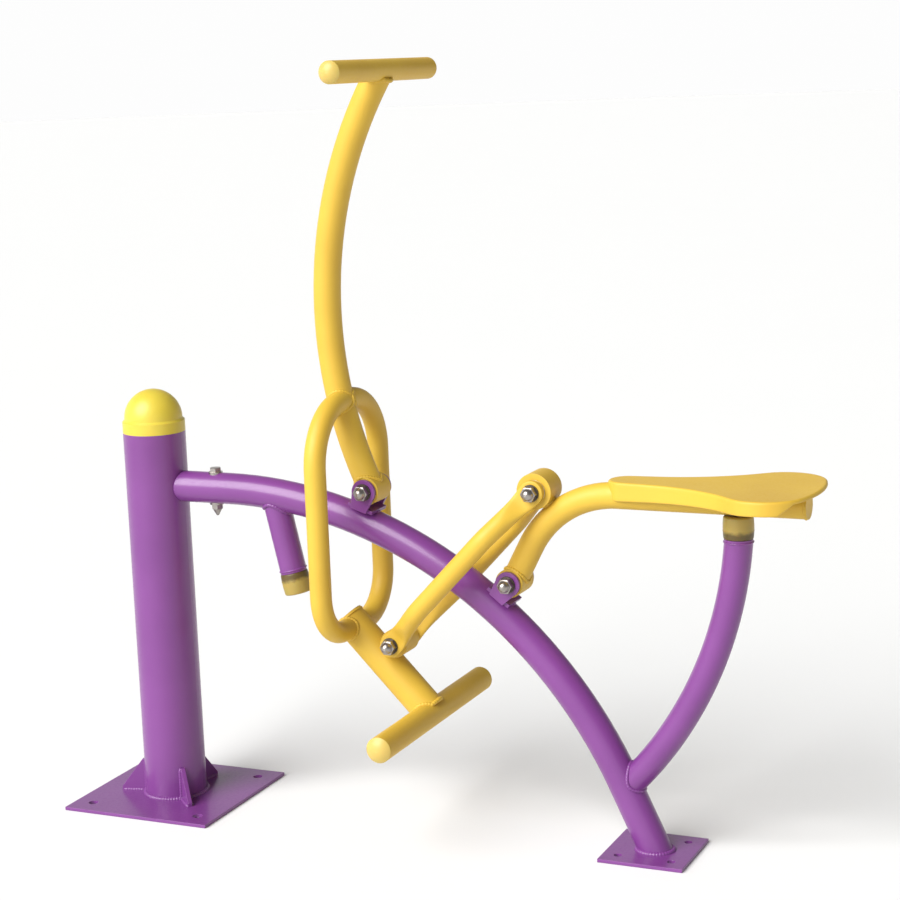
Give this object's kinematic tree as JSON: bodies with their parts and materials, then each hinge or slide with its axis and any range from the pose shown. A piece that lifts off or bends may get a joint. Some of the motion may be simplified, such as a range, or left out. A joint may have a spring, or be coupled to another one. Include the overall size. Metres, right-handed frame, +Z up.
{
  "type": "outdoor riding exercise station",
  "caption": "Outdoor fitness rider: post and arched tube frame with a pull handle, foot bar and link that lift a saddle lever off its buffer.",
  "frame": {"origin": "centre of the underside of the column's base plate, on the ground", "axes": "+X along the frame from the column to the saddle, +Y to the rider's right (the rider faces -X), +Z up"},
  "size_m": [1.396, 0.454, 1.3517],
  "materials": {
    "purple_paint": "glossy purple powder coat on welded steel",
    "yellow_paint": "glossy yellow powder coat on welded steel",
    "cap_plastic": "glossy lemon-yellow moulded plastic",
    "bar_cap_plastic": "yellow moulded plastic end caps",
    "amber_buffer": "cast amber polyurethane",
    "zinc_steel": "bright zinc-plated fasteners",
    "bearing_steel": "ground bearing steel",
    "nylon": "natural nylon"
  },
  "bodies": {
    "frame": {"base_plate": "purple_paint", "base_gussets": "purple_paint", "main_column": "purple_paint", "column_spigot": "purple_paint", "frame_tube": "purple_paint", "foot_plate": "purple_paint", "rear_strut": "purple_paint", "rear_strut_end_plate": "purple_paint", "front_stop_tube": "purple_paint", "front_stop_end_plate": "purple_paint", "handle_pivot_lugs": "purple_paint", "seat_pivot_lugs": "purple_paint", "column_cap": "cap_plastic", "rear_buffer": "amber_buffer", "front_buffer": "amber_buffer", "clamp_bolt": "zinc_steel", "clamp_nut": "zinc_steel", "clamp_washers": "zinc_steel", "buffer_screws": "zinc_steel", "handle_pivot_bolt": "zinc_steel", "handle_pivot_nut": "zinc_steel", "handle_pivot_washers": "zinc_steel", "seat_pivot_bolt": "zinc_steel", "seat_pivot_nut": "zinc_steel", "seat_pivot_washers": "zinc_steel", "handle_thrust_washers": "nylon", "seat_thrust_washers": "nylon"},
    "handle_lever": {"handle_tube": "yellow_paint", "handlebar": "yellow_paint", "handlebar_end_caps": "bar_cap_plastic", "left_loop_arm": "yellow_paint", "right_loop_arm": "yellow_paint", "handle_hub": "yellow_paint", "handle_hub_bearings": "bearing_steel", "foot_stem": "yellow_paint", "foot_stem_cap": "yellow_paint", "foot_bar": "yellow_paint", "foot_bar_end_caps": "bar_cap_plastic", "stem_link_hub": "yellow_paint", "stem_link_bearings": "bearing_steel"},
    "link": {"left_link_rod": "yellow_paint", "right_link_rod": "yellow_paint", "link_eyes": "yellow_paint", "link_bolts": "zinc_steel", "link_nuts": "zinc_steel", "link_washers": "zinc_steel", "link_thrust_washers": "nylon"},
    "seat_lever": {"seat_lever_tube": "yellow_paint", "seat_hub": "yellow_paint", "seat_hub_bearings": "bearing_steel", "seat_link_hub": "yellow_paint", "seat_link_bushes": "nylon", "seat": "yellow_paint", "seat_mount_plates": "yellow_paint", "seat_screws": "zinc_steel", "seat_tube_end_cap": "yellow_paint"}
  },
  "joints": [
    {"name": "handle_pivot", "type": "hinge", "parent": "frame", "child": "handle_lever", "pos_m": [0.44038, 0, 0.60958], "axis": [0, 1, 0], "range_deg": [0, 18]},
    {"name": "seat_pivot", "type": "hinge", "parent": "frame", "child": "seat_lever", "pos_m": [0.7072, 0, 0.46226], "axis": [0, 1, 0], "range_deg": [-32.03, 0]},
    {"name": "link_pivot", "type": "hinge", "parent": "handle_lever", "child": "link", "pos_m": [0.48327, 0, 0.33742], "axis": [0, 1, 0], "range_deg": [-19.87, 0]}
  ],
  "couplings": [
    {"joint": "seat_pivot", "follows": "handle_pivot", "ratio": -1.7781},
    {"joint": "link_pivot", "follows": "handle_pivot", "ratio": -1.1028}
  ]
}
